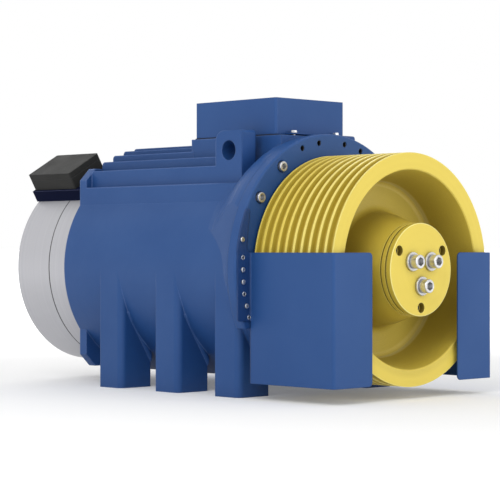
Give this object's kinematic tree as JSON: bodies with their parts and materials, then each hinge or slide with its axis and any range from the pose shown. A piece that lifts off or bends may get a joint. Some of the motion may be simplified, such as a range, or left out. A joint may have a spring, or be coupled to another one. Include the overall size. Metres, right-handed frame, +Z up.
{
  "type": "gearless elevator traction machine",
  "caption": "Gearless elevator hoist machine: ribbed motor housing on feet, overhung grooved rope sheave with rope guards, rear disc brake, terminal boxes and lifting lugs.",
  "frame": {"origin": "centre of the foot bolt pattern, on the mounting surface", "axes": "+X along the shaft towards the sheave, +Z up, +Y to the side away from the small brake terminal box"},
  "size_m": [0.9336, 0.488, 0.534],
  "materials": {
    "blue_enamel": "satin enamel over cast iron and sheet steel",
    "yellow_enamel": "satin safety-yellow enamel",
    "grey_casting": "satin light grey",
    "zinc_plated": "zinc plated",
    "bare_steel": "machined",
    "copper_winding": "varnished copper wire",
    "bearing_brass": "machined brass",
    "black_plastic": "fine matte moulded plastic",
    "rubber_seal": "matte",
    "friction_lining": "matte bonded lining",
    "magnet_coating": "epoxy coated magnet"
  },
  "bodies": {
    "machine_frame": {"stator_housing": "blue_enamel", "front_bearing_shield": "blue_enamel", "shield_screws": "zinc_plated", "rear_bearing_shield": "blue_enamel", "rear_shield_screws": "zinc_plated", "stator_core": "bare_steel", "stator_windings": "copper_winding", "front_bearing_outer_ring": "bare_steel", "front_bearing_cover": "blue_enamel", "front_cover_screws": "zinc_plated", "rear_bearing_outer_ring": "bare_steel", "rope_guard_near": "blue_enamel", "rope_guard_far": "blue_enamel", "guard_screws": "zinc_plated", "terminal_pad_gasket": "rubber_seal", "terminal_box": "blue_enamel", "terminal_box_screws": "zinc_plated", "terminal_block": "black_plastic", "cable_glands": "black_plastic", "brake_flange_ring": "grey_casting", "brake_magnet_body": "grey_casting", "brake_coils": "copper_winding", "brake_springs": "bare_steel", "brake_guide_pins": "bare_steel", "brake_screws": "zinc_plated", "encoder": "black_plastic", "encoder_cover": "grey_casting", "encoder_cover_screws": "zinc_plated", "brake_box_bracket": "blue_enamel", "bracket_screws": "zinc_plated", "brake_box_base": "black_plastic", "brake_box_lid": "black_plastic", "brake_box_gland": "black_plastic"},
    "rotor": {"shaft": "bare_steel", "rotor_hub": "bare_steel", "rotor_core": "bare_steel", "rotor_magnets": "magnet_coating", "rotor_key": "bare_steel", "front_bearing_inner_ring": "bare_steel", "front_bearing_spacer": "bare_steel", "rear_bearing_inner_ring": "bare_steel", "bearing_lock_nut": "bare_steel", "traction_sheave": "yellow_enamel", "sheave_key": "bare_steel", "sheave_end_plate": "yellow_enamel", "end_plate_washers": "zinc_plated", "end_plate_screws": "zinc_plated", "brake_hub": "bare_steel", "brake_key": "bare_steel", "friction_disc": "bare_steel", "friction_linings": "friction_lining"},
    "front_roller_set": {"front_bearing_rollers": "bare_steel", "front_bearing_cage": "bearing_brass"},
    "rear_ball_set": {"rear_bearing_balls": "bare_steel", "rear_bearing_cage": "bearing_brass"},
    "armature_upper": {"armature_plate_upper": "bare_steel"},
    "armature_lower": {"armature_plate_lower": "bare_steel"}
  },
  "joints": [
    {"name": "rotor_spin", "type": "hinge", "parent": "machine_frame", "child": "rotor", "pos_m": [0, 0, 0.225], "axis": [1, 0, 0], "continuous": true},
    {"name": "front_cage_spin", "type": "hinge", "parent": "machine_frame", "child": "front_roller_set", "pos_m": [0.2414, 0, 0.225], "axis": [1, 0, 0], "continuous": true},
    {"name": "rear_cage_spin", "type": "hinge", "parent": "machine_frame", "child": "rear_ball_set", "pos_m": [-0.2506, 0, 0.225], "axis": [1, 0, 0], "continuous": true},
    {"name": "upper_brake_release", "type": "slide", "parent": "machine_frame", "child": "armature_upper", "axis": [-1, 0, 0], "range_m": [0, 0.00045], "stiffness_N_per_m": 50000, "springref_m": -0.01},
    {"name": "lower_brake_release", "type": "slide", "parent": "machine_frame", "child": "armature_lower", "axis": [-1, 0, 0], "range_m": [0, 0.00045], "stiffness_N_per_m": 50000, "springref_m": -0.01}
  ],
  "couplings": [
    {"joint": "front_cage_spin", "follows": "rotor_spin", "ratio": 0.42857},
    {"joint": "rear_cage_spin", "follows": "rotor_spin", "ratio": 0.41512}
  ]
}
